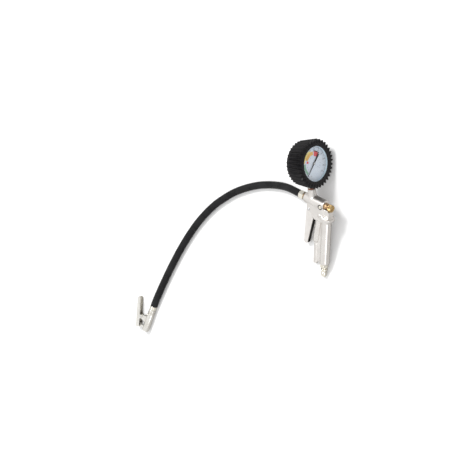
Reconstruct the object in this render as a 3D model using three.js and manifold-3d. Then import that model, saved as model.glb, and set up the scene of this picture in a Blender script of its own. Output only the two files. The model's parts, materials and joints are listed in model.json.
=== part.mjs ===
// Tyre inflator: a pistol-grip air valve with a dial gauge, a rubber hose and a clip-on valve chuck.
// Millimetres, +Z up. The tool lies on its side on a flat surface at Z = 0.
import * as THREE from 'three';
import { mergeVertices } from 'three/addons/utils/BufferGeometryUtils.js';
import Module from 'manifold-3d';

const wasm = await Module();
wasm.setup();

// Where the gun lies: its own frame has X to the rear along the barrel and Z up along the grip.
const gunPlace = [-2.65, 8.87, 28];
const gunTurnDeg = [-75.57, -12.1, -11.3];

// Gauge
const gaugeCentre = [4.4, 0, 66.1];
const gaugeTiltDeg = 13.8;
const bootRadius = 41.5;
const bootBackRadius = 36.8;
const bootDepth = 35.5;
const ribCount = 36;
const ribHeight = 4.4;
const ribFloor = 33.7;
const caseRadius = 32.4;
const caseWall = 1;
const caseBack = -33.1;
const windowRadius = 29.3;
const caseFront = -3.4;
const dialLevel = -7.2;
const pointerZeroDeg = 225;
const stemLevel = -19.5;
const sectorPivot = -13;
const pinionRadius = 1.3;
const sectorRadius = 11.7;

// Barrel, measured along its axis from the point under the gauge
const barrelDroopDeg = 3.4;
const noseAt = -15.5;
const barrelEnd = 29.5;
const barrelRadius = 9.8;
const boreRadius = 3.5;
const nippleEnd = -7.5;
const threadRadius = 5.2;
const nutFace = -28.4;
const nutRadius = 7.7;
const knobStart = 36.6;
const knobEnd = 43.6;
const knobDeep = 41.2;
const bleedEnd = 38.5;
const knobRadius = 6.2;

// Grip, trigger and valve
const gripX = 32.3;
const gripRadius = 8.5;
const gripBottom = -106;
const plugTip = 129;
const beadX = 12.5;
const beadBottom = -110.5;
const cheekHalf = 8.6;
const triggerHalf = 4.5;
const triggerPivot = [-1, -14];
const pinRadius = 1.5;
const pinGap = 0.15;
const valveZ = -22;
const housingHalf = 8.8;
const tangTiltDeg = 12;
const screwAt = [24, 0, -3];

// Hose and chuck
const hoseRadius = 6.35;
const chuckPlace = [-225.85, -312.9, hoseRadius];
const chuckRadius = 6.3;
const chuckMouth = 50.2;
const mouthRadius = 4.2;
const leverPivot = [29, -16.5];
const leverOpenDeg = 17;
const leverHalf = 5;

const gap = 0.3;

// The hose runs down from the nose to the surface, sweeps round and comes straight into the chuck.
const hoseRoute = [
  [-30.4, 6.1, 21.5], [-38.4, 5.6, 19.4], [-47, 4.8, 17.2], [-57, 3.5, 14.7], [-68, 0.9, 12.1],
  [-79, -2.8, 9.8], [-91, -7.6, 8], [-102, -12.9, 6.9], [-112.5, -18.6, 6.4],
  [-122.6, -25.2, 6.35], [-132.4, -32.6, 6.35], [-141.8, -40.6, 6.35], [-151.1, -49.6, 6.35],
  [-159.9, -59.6, 6.35], [-168.1, -70.6, 6.35], [-176.4, -82.6, 6.35], [-184.1, -96.2, 6.35],
  [-191.1, -111.1, 6.35], [-197.4, -127.1, 6.35], [-202.6, -143.1, 6.35], [-207.1, -160.1, 6.35],
  [-211.1, -178.1, 6.35], [-214.5, -196.6, 6.35], [-217.2, -214.6, 6.35], [-219.6, -232.6, 6.35],
  [-221.6, -250.6, 6.35], [-223.4, -269.6, 6.35], [-224.8, -287.6, 6.35], [-225.7, -302.6, 6.35],
  [-225.8, -312.9, 6.35],
];

const rad = THREE.MathUtils.degToRad;

// ---- solids

function toSolid(geometry) {
  const bare = geometry.index ? geometry.toNonIndexed() : geometry.clone();
  bare.deleteAttribute('normal');
  bare.deleteAttribute('uv');
  const merged = mergeVertices(bare, 1e-4);
  const place = merged.attributes.position.array;
  const index = merged.index.array;
  const triangles = [];
  let volume = 0;
  const a = new THREE.Vector3();
  const b = new THREE.Vector3();
  const c = new THREE.Vector3();
  for (let i = 0; i < index.length; i += 3) {
    const [p, q, r] = [index[i], index[i + 1], index[i + 2]];
    if (p === q || q === r || r === p) continue;
    triangles.push(p, q, r);
    a.fromArray(place, 3 * p);
    b.fromArray(place, 3 * q);
    c.fromArray(place, 3 * r);
    volume += a.dot(b.cross(c));
  }
  if (volume < 0) triangles.reverse();
  return new wasm.Manifold(new wasm.Mesh({
    numProp: 3,
    vertProperties: new Float32Array(place),
    triVerts: new Uint32Array(triangles),
  }));
}

function toGeometry(solid) {
  const mesh = solid.getMesh();
  const geometry = new THREE.BufferGeometry();
  geometry.setAttribute('position', new THREE.BufferAttribute(mesh.vertProperties, 3));
  geometry.setIndex(new THREE.BufferAttribute(mesh.triVerts, 1));
  geometry.computeVertexNormals();
  return geometry;
}

const join = (first, ...others) => others.reduce((sum, other) => sum.add(other), first);
const cut = (first, ...others) => others.reduce((rest, other) => rest.subtract(other), first);

// A profile of [distance along, radius] pairs turned about a line.
function turned(profile, from, direction, sides = 22, spinDeg = 0) {
  const points = profile.map(([along, radius]) => new THREE.Vector2(radius, along));
  const geometry = new THREE.LatheGeometry(points, sides, rad(spinDeg));
  const axis = new THREE.Vector3(...direction).normalize();
  geometry.applyQuaternion(new THREE.Quaternion().setFromUnitVectors(new THREE.Vector3(0, 1, 0), axis));
  geometry.translate(...from);
  return toSolid(geometry);
}

const rod = (from, direction, start, end, radius, sides = 16) => turned(
  [[start, 0], [start, radius], [end, radius], [end, 0]], from, direction, sides);

const tube = (from, direction, start, end, inner, outer, sides = 16) => turned(
  [[start, inner], [start, outer], [end, outer], [end, inner], [start, inner]], from, direction, sides);

// A rod with a round far end, between two points.
function fingerRod(from, to, radius, sides = 16) {
  const start = new THREE.Vector3(...from);
  const run = new THREE.Vector3(...to).sub(start);
  const length = run.length();
  const profile = [[0, 0], [0, radius]];
  const steps = 4;
  for (let i = 0; i <= steps; i += 1) {
    const turn = (i / steps) * Math.PI / 2;
    profile.push([length + radius * Math.sin(turn), i === steps ? 0 : radius * Math.cos(turn)]);
  }
  return turned(profile, from, run.toArray(), sides);
}

function block(low, high) {
  const size = high.map((value, i) => value - low[i]);
  const geometry = new THREE.BoxGeometry(...size);
  geometry.translate(...high.map((value, i) => (value + low[i]) / 2));
  return toSolid(geometry);
}

function outline(points) {
  return points instanceof THREE.Shape ? points : new THREE.Shape(points.map((p) => new THREE.Vector2(...p)));
}

// An outline in X and Y, raised from one level to another.
function slab(points, bottom, top, curveSegments = 12) {
  const geometry = new THREE.ExtrudeGeometry(outline(points), {
    depth: top - bottom, bevelEnabled: false, curveSegments,
  });
  geometry.translate(0, 0, bottom);
  return toSolid(geometry);
}

// An outline in X and Z, with its thickness along Y.
function sidePlate(points, near, far, curveSegments = 12) {
  const geometry = new THREE.ExtrudeGeometry(outline(points), {
    depth: far - near, bevelEnabled: false, curveSegments,
  });
  geometry.rotateX(Math.PI / 2);
  geometry.translate(0, far, 0);
  return toSolid(geometry);
}

// A round wire along a curve.
function wire(curve, radius, steps, sides = 6) {
  const section = new THREE.Shape();
  for (let i = 0; i < sides; i += 1) {
    const turn = (i / sides) * 2 * Math.PI;
    const point = [radius * Math.cos(turn), radius * Math.sin(turn)];
    if (i === 0) section.moveTo(...point);
    else section.lineTo(...point);
  }
  section.closePath();
  return toSolid(new THREE.ExtrudeGeometry(section, { steps, extrudePath: curve, bevelEnabled: false }));
}

class Helix extends THREE.Curve {
  constructor(from, direction, length, radius, turns) {
    super();
    this.from = new THREE.Vector3(...from);
    this.turnTo = new THREE.Quaternion().setFromUnitVectors(
      new THREE.Vector3(0, 1, 0), new THREE.Vector3(...direction).normalize());
    Object.assign(this, { length, radius, turns });
  }

  getPoint(t, target = new THREE.Vector3()) {
    const turn = 2 * Math.PI * this.turns * t;
    target.set(this.radius * Math.cos(turn), this.length * t, this.radius * Math.sin(turn));
    return target.applyQuaternion(this.turnTo).add(this.from);
  }
}

const coil = (from, direction, length, radius, turns, wireRadius) => wire(
  new Helix(from, direction, length, radius, turns), wireRadius, Math.round(turns * 9), 5);

// ---- finishes

const finish = (color, roughness, metalness) => ({ color, roughness, metalness });
const castAluminium = finish(0xc9c7c2, 0.42, 0.9);
const brass = finish(0xc09a52, 0.3, 1);
const nickel = finish(0xcfcab8, 0.28, 1);
const steel = finish(0xb9bbbd, 0.3, 1);
const darkSteel = finish(0x4b4d50, 0.4, 1);
const rubber = finish(0x151515, 0.75, 0);
const sealRubber = finish(0x232323, 0.8, 0);
const whitePaint = finish(0xeef2f6, 0.5, 0);
const blackPaint = finish(0x0c0c0c, 0.45, 0);
const clearLens = finish(0xf4f7f8, 0.05, 0);

const inflator = new THREE.Group();
const gun = new THREE.Group();
gun.position.set(...gunPlace);
gun.rotation.set(...gunTurnDeg.map(rad), 'XYZ');
inflator.add(gun);

function add(group, name, look, solid) {
  const mesh = new THREE.Mesh(toGeometry(solid), new THREE.MeshStandardMaterial(look));
  mesh.name = name;
  group.add(mesh);
}

// ---- gun body

const droop = rad(barrelDroopDeg);
const rear = [Math.cos(droop), 0, -Math.sin(droop)];
const down = [0, 0, -1];
const side = [0, 1, 0];
const back = [1, 0, 0];
const origin = [0, 0, 0];
const tilt = rad(gaugeTiltDeg);
const stemDown = [Math.sin(tilt), 0, -Math.cos(tilt)];
const gaugeOut = [Math.cos(tilt), 0, Math.sin(tilt)];
const bossLength = 19.5;
const stemReach = 43.9;
const bossTop = [
  gaugeCentre[0] + stemLevel * gaugeOut[0] + stemReach * stemDown[0], 0,
  gaugeCentre[2] + stemLevel * gaugeOut[2] + stemReach * stemDown[2],
];
const [pivotX, pivotZ] = triggerPivot;

function bodyCasting() {
  const barrel = turned([
    [noseAt, 0], [noseAt, 7.6], [noseAt + 1.2, 8.6], [-10, 9.1], [-4, barrelRadius],
    [barrelEnd - 1.5, barrelRadius], [barrelEnd, barrelRadius - 1.5], [barrelEnd, 0],
  ], origin, rear, 26);
  const boss = turned([
    [0, 0], [0, 5.9], [0.8, 6.7], [7, 6.9], [12, 7.9], [16, 9.2], [bossLength, 9.4], [bossLength, 0],
  ], bossTop, stemDown, 22);
  const housing = join(
    sidePlate([[7, -3], [31, -4.6], [31, -29], [12, -29], [7, -25]], -housingHalf, housingHalf),
    sidePlate([[29, -4.6], [38.5, -6], [41, -9], [41, -22], [39, -29], [29, -29]], -6.4, 6.4));
  const cheek = new THREE.Shape();
  cheek.moveTo(9, -4);
  cheek.lineTo(9, -22);
  cheek.lineTo(pivotX + 2, pivotZ - 4.2);
  cheek.absarc(pivotX, pivotZ, 4.6, rad(-65), rad(-180), true);
  cheek.lineTo(pivotX - 4.6, -4);
  cheek.closePath();
  const nearCheek = sidePlate(cheek, -cheekHalf, -triggerHalf - gap);
  const farCheek = sidePlate(cheek, triggerHalf + gap, cheekHalf);
  const grip = turned([
    [18, 0], [18, gripRadius], [-gripBottom - 1.2, gripRadius], [-gripBottom, gripRadius - 1.2],
    [-gripBottom, 0],
  ], [gripX, 0, 0], down, 26);
  const pad = fingerRod([18.5, 0, -22], [12.8, 0, -64.5], 6.3);
  const bead = rod([beadX, 0, 0], down, 56, -beadBottom, 4, 14);
  const web = sidePlate([
    [16, -24], [gripX, -24], [gripX, -104.5], [23.6, -105.4], [beadX, -109], [beadX, -60],
  ], -1.8, 1.8);
  const tangPlan = new THREE.Shape();
  tangPlan.moveTo(-9, -9.4);
  tangPlan.lineTo(6, -11);
  tangPlan.bezierCurveTo(14, -11, 16, -6, 16, 0);
  tangPlan.bezierCurveTo(16, 6, 14, 11, 6, 11);
  tangPlan.lineTo(-9, 9.4);
  tangPlan.closePath();
  const tangGeometry = new THREE.ExtrudeGeometry(tangPlan, {
    depth: 3.4,
    bevelEnabled: true,
    bevelThickness: 0.6,
    bevelSize: 0.6,
    bevelSegments: 1,
    curveSegments: 8,
  });
  tangGeometry.translate(0, 0, -1.7);
  tangGeometry.rotateY(rad(tangTiltDeg));
  tangGeometry.translate(30, 0, -20.6);
  const tang = toSolid(tangGeometry);
  const solid = join(barrel, boss, housing, nearCheek, farCheek, grip, pad, bead, web, tang);

  const air = rod(origin, rear, noseAt - 1, barrelEnd + 1, boreRadius);
  const noseThread = rod(origin, rear, noseAt - 1, nippleEnd + 0.6, threadRadius);
  const rearThread = rod(origin, rear, 14, barrelEnd + 1, threadRadius);
  const knobRoom = rod(origin, rear, barrelEnd, 60, knobRadius + 0.6);
  const gaugeThread = rod(bossTop, stemDown, -1, 10, threadRadius);
  const gaugePort = rod(bossTop, stemDown, 9, 19, 2);
  const chamber = rod([0, 0, valveZ], back, 2, 34, 4.2);
  const riser = rod([17.2, 0, valveZ], [0, 0, 1], 0, 20, 1.8);
  const gripBore = rod([gripX, 0, 0], down, -valveZ, -gripBottom + 1, 3.6);
  const plugThread = rod([gripX, 0, 0], down, 93, -gripBottom + 5, 6.2);
  const pivotHole = rod([pivotX, 0, pivotZ], side, -cheekHalf - 1, cheekHalf + 1, pinRadius + pinGap, 14);
  const screwHole = rod(screwAt, side, -12, -6, 2.1, 14);
  const screwRecess = rod(screwAt, side, -12, -7.4, 4.5);
  const airWays = [air, noseThread, rearThread, gaugeThread, gaugePort, chamber, riser, gripBore];
  return cut(solid, ...airWays, plugThread, knobRoom, pivotHole, screwHole, screwRecess);
}

add(gun, 'gun_body', castAluminium, bodyCasting());
add(gun, 'side_screw', nickel, join(
  turned([[-9.9, 0], [-9.9, 2], [-9.3, 3.1], [-7.7, 3.1], [-7.7, 0]], screwAt, side, 14),
  rod(screwAt, side, -7.8, -6.3, 1.8, 14)));

// ---- nose: hollow nipple and hexagon nut

add(gun, 'hose_nipple', brass, turned([
  [nutFace + 0.4, 2.2], [nutFace + 0.4, 4], [noseAt - 2.6, 4], [noseAt - 2.6, 5], [nippleEnd, 5],
  [nippleEnd, 2.2], [nutFace + 0.4, 2.2],
], origin, rear, 16));
add(gun, 'hose_nut', nickel, cut(
  turned([
    [nutFace, 0], [nutFace, nutRadius - 1.3], [nutFace + 1.1, nutRadius], [noseAt - 4, nutRadius],
    [noseAt - 2.9, nutRadius - 1.3], [noseAt - 2.9, 0],
  ], origin, rear, 6, 30),
  rod(origin, rear, nutFace - 1, noseAt, 4.3)));

// ---- bleed valve at the barrel's rear

add(gun, 'bleed_body', brass, turned([
  [16, 1.7], [16, 5], [barrelEnd + gap, 5], [barrelEnd + gap, 6], [33.6, 6], [33.6, 4.7],
  [bleedEnd, 4.7], [bleedEnd, 1.7], [16, 1.7],
], origin, rear, 20));
add(gun, 'bleed_knob', brass, turned([
  [knobStart, 5.1], [knobStart, knobRadius - 0.6], [knobStart + 0.6, knobRadius],
  [knobEnd - 1, knobRadius], [knobEnd, knobRadius - 1], [knobEnd, 0],
  [knobDeep, 0], [knobDeep, 5.1], [knobStart, 5.1],
], origin, rear, 26));
add(gun, 'bleed_stem', steel, turned([
  [12.2, 0], [12.2, 2.8], [14.6, 2.8], [14.6, 1.2], [knobDeep - gap, 1.2], [knobDeep - gap, 0],
], origin, rear, 14));
const springEnd = rear.map((part) => 9.2 * part);
const forward = rear.map((part) => -part);
add(gun, 'bleed_spring', steel, coil(springEnd, forward, 7, 2.3, 4, 0.35));

// ---- trigger and valve

function triggerCasting() {
  const shape = new THREE.Shape();
  shape.moveTo(-9.8, -18.4);
  shape.lineTo(pivotX - 3.4, pivotZ - 1.2);
  shape.absarc(pivotX, pivotZ, 3.6, rad(199), rad(0), true);
  shape.lineTo(3, -26);
  shape.lineTo(6, -31);
  shape.lineTo(3.4, -42);
  shape.lineTo(-4.2, -76.5);
  shape.quadraticCurveTo(-5, -80, -7.4, -80.4);
  shape.quadraticCurveTo(-12.2, -80.6, -12.6, -76);
  shape.closePath();
  const hollow = [[-7.5, -29.5], [9, -29.5], [9, -77.2], [-10, -77.2]];
  return cut(
    sidePlate(shape, -triggerHalf, triggerHalf, 8),
    sidePlate(hollow, -triggerHalf + 1.5, triggerHalf - 1.5),
    rod([pivotX, 0, pivotZ], side, -6, 6, pinRadius + pinGap, 14));
}

add(gun, 'trigger', castAluminium, triggerCasting());
add(gun, 'trigger_pin', steel, turned([
  [-cheekHalf - 1.2, 0], [-cheekHalf - 1.2, 1.6], [-cheekHalf - 0.9, 2.4], [-cheekHalf - gap, 2.4],
  [-cheekHalf - gap, pinRadius], [cheekHalf + 0.8, pinRadius], [cheekHalf + 0.8, 0],
], [pivotX, 0, pivotZ], side, 14));
add(gun, 'valve_guide', brass, turned([
  [5.5, 1.75], [5.5, 4.4], [6.7, 4.4], [6.7, 3.9], [13.6, 3.9], [13.6, 1.75], [5.5, 1.75],
], [0, 0, valveZ], back, 16));
add(gun, 'valve_packing', sealRubber, tube([0, 0, valveZ], back, 13.9, 15.3, 1.75, 3.9));
add(gun, 'valve_seat', whitePaint, tube([0, 0, valveZ], back, 19.4, 20.9, 2.3, 3.9));
add(gun, 'valve_stem', steel, turned([
  [3.3, 0], [3.7, 1.2], [4.4, 1.6], [21.2, 1.6], [21.2, 3.2], [22.8, 3.2], [22.8, 1.2], [25, 1.2], [25, 0],
], [0, 0, valveZ], back, 14));
add(gun, 'valve_spring', steel, coil([26.6, 0, valveZ], back, 6.6, 2.9, 4, 0.4));

// ---- inlet plug under the grip

const grip = [gripX, 0, 0];
add(gun, 'inlet_plug', nickel, cut(
  join(
    rod(grip, down, 95, 107, 5.9),
    turned([[106.3, 0], [106.3, 6.6], [107, 7.3], [111.4, 7.3], [112.1, 6.6], [112.1, 0]], grip, down, 6),
    turned([
      [111.9, 0], [111.9, 4.4], [114.4, 4.4], [114.8, 5.6], [117.4, 5.6], [118, 4.1], [120.4, 4.1],
      [121.2, 4.9], [plugTip - 2, 4.9], [plugTip, 4.1], [plugTip, 0],
    ], grip, down, 20)),
  rod(grip, down, 90, plugTip + 1, 2.6)));
add(gun, 'inlet_seal', sealRubber, tube(grip, down, 93.3, 94.7, 2.8, 5.9));
add(gun, 'inlet_filter', brass, turned([
  [80, 0], [80, 3.2], [92.5, 3.2], [92.5, 2.7], [80.6, 2.7], [80.6, 0],
], grip, down, 14));

// ---- gauge: its own frame has Z out of the dial and Y up its face

const gauge = new THREE.Group();
gauge.position.set(...gaugeCentre);
gauge.quaternion.setFromRotationMatrix(new THREE.Matrix4().makeBasis(
  new THREE.Vector3(...side),
  new THREE.Vector3(...stemDown).negate(),
  new THREE.Vector3(...gaugeOut)));
gun.add(gauge);

const out = [0, 0, 1];
const stemAxis = [0, 0, stemLevel];
const faceDown = [0, -1, 0];

// The boot is a turned shell whose outer wall is folded into pointed ribs.
function ribbedBoot() {
  const lip = caseRadius + gap;
  const profile = [
    [0, windowRadius + 0.1], [-2.1, windowRadius + 0.1], [-2.1, lip], [2 - bootDepth, lip],
    [2 - bootDepth, 27], [-bootDepth, 27],
    [-bootDepth, 33.4], [1.4 - bootDepth, bootBackRadius], [-2.4, bootRadius], [-0.8, bootRadius - 1.4],
    [0, 36.6], [0, windowRadius + 0.1],
  ].map(([along, radius]) => new THREE.Vector2(radius, along));
  const geometry = new THREE.LatheGeometry(profile, 2 * ribCount);
  const place = geometry.attributes.position;
  for (let i = 0; i < place.count; i += 1) {
    const [x, y, z] = [place.getX(i), place.getY(i), place.getZ(i)];
    const radius = Math.hypot(x, z);
    if (radius > 34 && y < -0.5) {
      const phase = Math.abs(((Math.atan2(z, x) * ribCount) / (2 * Math.PI) + ribCount) % 1 - 0.5) * 2;
      const folded = Math.max(radius - ribHeight * (1 - phase), ribFloor);
      place.setXYZ(i, x * (folded / radius), y, z * (folded / radius));
    }
  }
  geometry.rotateX(Math.PI / 2);
  return cut(toSolid(geometry), rod(stemAxis, faceDown, 25, 45, 6.6));
}

add(gauge, 'gauge_boot', rubber, ribbedBoot());
add(gauge, 'gauge_case', darkSteel, cut(
  turned([
    [caseBack, 0], [caseBack, caseRadius - 1.4], [caseBack + 1.4, caseRadius],
    [caseFront, caseRadius], [caseFront, caseRadius - caseWall],
    [caseBack + 1.6, caseRadius - caseWall], [caseBack + 1, caseRadius - 2.4], [caseBack + 1, 0],
  ], origin, out, 32),
  rod(stemAxis, faceDown, 25, 36, 3.3)));
add(gauge, 'gauge_bezel', blackPaint, tube(origin, out, caseFront + gap, -2.4, windowRadius, caseRadius, 32));
add(gauge, 'gauge_lens', clearLens, rod(origin, out, caseFront - 1.2, caseFront, caseRadius - caseWall - gap, 32));
const dialRadius = caseRadius - caseWall - gap;
add(gauge, 'dial_plate', whitePaint, tube(origin, out, dialLevel - 0.8, dialLevel, 1.5, dialRadius, 32));

// The pointer is drawn pointing along X, then turned to its zero.
function pointerBlade() {
  const blade = slab([
    [25, 0.25], [3, 0.9], [0, 1.8], [-3, 1.3], [-19, 1.9],
    [-19, -1.9], [-3, -1.3], [0, -1.8], [3, -0.9], [25, -0.25],
  ], dialLevel + 0.8, dialLevel + 1.3);
  return cut(blade, rod(origin, out, dialLevel, dialLevel + 2, 1)).rotate([0, 0, pointerZeroDeg]);
}

add(gauge, 'pointer', blackPaint, pointerBlade());
add(gauge, 'pointer_hub', steel, turned([
  [dialLevel + 1.6, 0], [dialLevel + 1.6, 2], [dialLevel + 2, 2], [dialLevel + 2.3, 1.4],
  [dialLevel + 2.3, 0],
], origin, out, 14));
add(gauge, 'pinion_shaft', brass, turned([
  [-21.2, 0], [-21.2, 0.7], [-17.6, 0.7], [-17.6, pinionRadius - 0.1], [-15.4, pinionRadius - 0.1],
  [-15.4, 0.7], [dialLevel + 1.3, 0.7], [dialLevel + 1.3, 0],
], origin, out, 16));

const plateOutline = [[-9, -17], [9, -17], [9, 9], [-9, 9]];
const platePivots = (level) => [
  rod(origin, out, level - 1, level + 2, 0.9, 16),
  rod([0, sectorPivot, 0], out, level - 1, level + 2, 1.2, 16),
];
for (const [name, level] of [['movement_front_plate', -14.6], ['movement_back_plate', -20.6]]) {
  add(gauge, name, brass, cut(slab(plateOutline, level, level + 0.8), ...platePivots(level)));
}
for (const [name, x] of [['movement_pillar_left', -7], ['movement_pillar_right', 7]]) {
  add(gauge, name, brass, rod([x, 6.5, 0], out, -19.5, -14.9, 1.4, 16));
}

// A toothed arc above its pivot, and a short tail that the link pulls.
function sectorSolid() {
  const shape = new THREE.Shape();
  const half = 34;
  shape.moveTo(-2, 0);
  shape.absarc(0, 0, sectorRadius - 0.25, rad(90 + half), rad(90 - half), true);
  shape.lineTo(2, 0);
  shape.lineTo(1.6, -2);
  shape.lineTo(-7.6, -2);
  shape.lineTo(-7.6, -0.4);
  shape.closePath();
  const arc = slab(shape, -17.4, -15.8, 16);
  return join(arc, rod(origin, out, -21.2, -13.2, 1, 16)).translate([0, sectorPivot, 0]);
}

add(gauge, 'sector_gear', brass, sectorSolid());
add(gauge, 'bourdon_link', steel, slab([
  [-6.4, sectorPivot - 1.9], [-6.4, sectorPivot - 0.5], [-13, sectorPivot + 0.6], [-13, sectorPivot - 0.8],
], -18.6, -17.8));

function bourdonArc() {
  const shape = new THREE.Shape();
  shape.absarc(0, 0, 23, rad(-70), rad(196), false);
  shape.absarc(0, 0, 21, rad(196), rad(-70), true);
  shape.closePath();
  return slab(shape, -25.6, -21.6, 28);
}

add(gauge, 'bourdon_tube', brass, bourdonArc());
add(gauge, 'zero_stop', steel, rod([-9.4, -19.4, 0], out, dialLevel + 0.3, dialLevel + 1.6, 0.6, 12));
add(gauge, 'hairspring', steel, tube(origin, out, -19.2, -18.8, 2.6, 3.4, 16));

add(gauge, 'gauge_socket', brass, cut(
  join(
    block([-6.3, -27.5, -26], [6.3, -19.9, -13]),
    rod(stemAxis, faceDown, 26, 33, 3, 16),
    rod(stemAxis, faceDown, caseRadius + gap, 42.2, 5.8, 20),
    rod(stemAxis, faceDown, 42, 52.5, 4.9, 16)),
  rod(stemAxis, faceDown, 22, 54, 1.6, 16)));
add(gauge, 'socket_washer', finish(0x8d3f24, 0.6, 0), tube(stemAxis, faceDown, 42.5, 43.6, 5.2, 6.6));

// ---- hose

const routePoints = hoseRoute.map((point) => new THREE.Vector3(...point));
const hoseCurve = new THREE.CatmullRomCurve3(routePoints, false, 'centripetal');
add(inflator, 'hose', rubber, wire(hoseCurve, hoseRadius, 52, 10));

// ---- chuck: its own frame has X from the hose to the mouth, and the lever on the -Y side

const chuck = new THREE.Group();
chuck.position.set(...chuckPlace);
chuck.rotation.z = -Math.PI / 2;
inflator.add(chuck);

const [leverX, leverY] = leverPivot;

function chuckCasting() {
  const barrel = turned([
    [7.6, 0], [7.6, 5.5], [8.4, chuckRadius], [11, chuckRadius], [11, 5.4], [12.2, 5.4], [12.2, chuckRadius],
    [14.4, chuckRadius], [14.4, 5.4], [15.6, 5.4], [15.6, chuckRadius], [chuckMouth - 1, chuckRadius],
    [chuckMouth, 5.4], [chuckMouth, 0],
  ], origin, back, 22);
  const ear = new THREE.Shape();
  ear.moveTo(leverX + 6.5, -3);
  ear.lineTo(leverX + 2.6, leverY - 0.9);
  ear.absarc(leverX, leverY, 2.75, rad(-19), rad(-161), true);
  ear.lineTo(leverX - 6.5, -3);
  ear.closePath();
  const lug = slab(ear, 1.9, 3.5, 8);
  const holes = [
    rod(origin, back, 6, 16, 3.3),
    rod(origin, back, 15, 24, 1.6, 16),
    rod(origin, back, 22, chuckMouth + 1, mouthRadius),
    block([40.5, -8, -2.6], [chuckMouth + 1, -1, 2.6]),
    rod([leverX, leverY, 0], out, -6, 6, pinRadius + pinGap, 14),
  ];
  return cut(join(barrel, lug, lug.translate([0, 0, -5.4])), ...holes);
}

// The lever is a channel with two ears on the pin and a jaw that reaches into the mouth's slot.
function leverPressing() {
  const wall = new THREE.Shape();
  wall.moveTo(-35.3, -7.6);
  wall.lineTo(-34.6, -8.2);
  wall.lineTo(19.5, -8.2);
  wall.lineTo(19.5, -1.7);
  wall.lineTo(4.6, -1.7);
  wall.lineTo(2.6, 0.9);
  wall.absarc(0, 0, 2.8, rad(19), rad(161), false);
  wall.lineTo(-4.6, -1.7);
  wall.lineTo(-33, -2.6);
  wall.lineTo(-35.3, -4.6);
  wall.closePath();
  const jaw = slab([
    [12.5, -2], [12.5, -7.4], [19.4, -7.4], [19.6, 6.4], [16.8, 7], [15.4, 4], [15.4, -0.4],
  ], -2.1, 2.1);
  const inside = block([-40, -6.9, -leverHalf + 1.2], [25, 5, leverHalf - 1.2]);
  const channel = cut(slab(wall, -leverHalf, leverHalf, 8), inside);
  return cut(join(channel, jaw), rod(origin, out, -8, 8, pinRadius + pinGap, 14))
    .rotate([0, 0, leverOpenDeg]).translate([leverX, leverY, 0]);
}

add(chuck, 'chuck_ferrule', nickel, turned([
  [gap, 3.3], [gap, 5.5], [0.9, 6], [6.7, 6], [7.3, 5.4], [7.3, 3.3], [gap, 3.3],
], origin, back, 20));
add(chuck, 'chuck_nipple', brass, tube(origin, back, gap, 14.6, 1.5, 3.1, 14));
add(chuck, 'chuck_body', nickel, chuckCasting());
add(chuck, 'chuck_lever', nickel, leverPressing());
add(chuck, 'chuck_lever_pin', steel, rod([leverX, leverY, 0], out, -5.7, 5.7, pinRadius, 14));
add(chuck, 'chuck_lever_spring', steel, coil([leverX, leverY, -1.3], out, 2.6, 2.3, 3, 0.3));
add(chuck, 'chuck_gland', sealRubber, tube(origin, back, 36, 39.6, 1.9, 4));
add(chuck, 'chuck_depressor', brass, turned([
  [31, 0], [31, 2.8], [32.4, 2.8], [32.4, 1.2], [40.8, 1.2], [40.8, 0],
], origin, back, 14));
add(chuck, 'chuck_depressor_spring', steel, coil([22.8, 0, 0], back, 5.2, 2.4, 3, 0.35));

export default inflator;
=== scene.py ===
# Tyre inflator lying on a pale studio floor: cast gun, booted dial gauge, hose and clip-on chuck.
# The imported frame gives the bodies. Sizes are in millimetres here and go into the meshes in metres.
import json
import math

import bmesh
import bpy
import numpy as np
from mathutils import Matrix, Vector


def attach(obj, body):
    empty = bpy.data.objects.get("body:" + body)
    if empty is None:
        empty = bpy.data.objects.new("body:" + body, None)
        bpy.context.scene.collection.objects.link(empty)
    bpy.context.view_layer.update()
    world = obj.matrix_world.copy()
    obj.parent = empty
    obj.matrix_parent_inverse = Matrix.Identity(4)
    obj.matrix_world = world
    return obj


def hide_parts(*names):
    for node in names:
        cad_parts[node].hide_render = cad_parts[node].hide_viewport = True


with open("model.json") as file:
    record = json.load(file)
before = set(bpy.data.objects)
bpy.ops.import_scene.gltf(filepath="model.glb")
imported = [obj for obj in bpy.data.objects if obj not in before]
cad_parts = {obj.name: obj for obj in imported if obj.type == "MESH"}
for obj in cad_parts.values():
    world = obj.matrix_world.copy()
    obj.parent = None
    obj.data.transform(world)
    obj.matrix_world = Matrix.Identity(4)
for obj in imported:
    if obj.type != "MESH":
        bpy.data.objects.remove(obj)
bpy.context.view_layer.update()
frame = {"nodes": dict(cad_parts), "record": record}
print("frame loaded:", len(frame["nodes"]), "nodes")

mm = 0.001
turn = 2 * math.pi
layout = {
    "gunPlace": (-2.65, 8.87, 28),
    "gunTurnDeg": (-75.57, -12.1, -11.3),
    "barrelDroopDeg": 3.4,
    "gaugeCentre": (4.4, 0, 66.1),
    "gaugeTiltDeg": 13.8,
    "stemLevel": -19.5,
    "gripX": 32.3,
    "chuckPlace": (-225.85, -312.9, 6.35),
    "leverPivot": (29, -16.5),
    "leverOpenDeg": 17,
}


def shift(point):
    return Matrix.Translation(Vector(point))


# a frame whose three axes are the given directions, with its origin at place
def basis(place, x, y, z):
    rows = Matrix((Vector(x), Vector(y), Vector(z))).transposed()
    return shift(place) @ rows.to_4x4()


# a frame with its Z along a line, for turned pieces
def lineFrame(place, along, sideways=(0, 1, 0)):
    z = Vector(along).normalized()
    y = z.cross(Vector(sideways)).normalized()
    return basis(place, y.cross(z), y, z)


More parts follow.
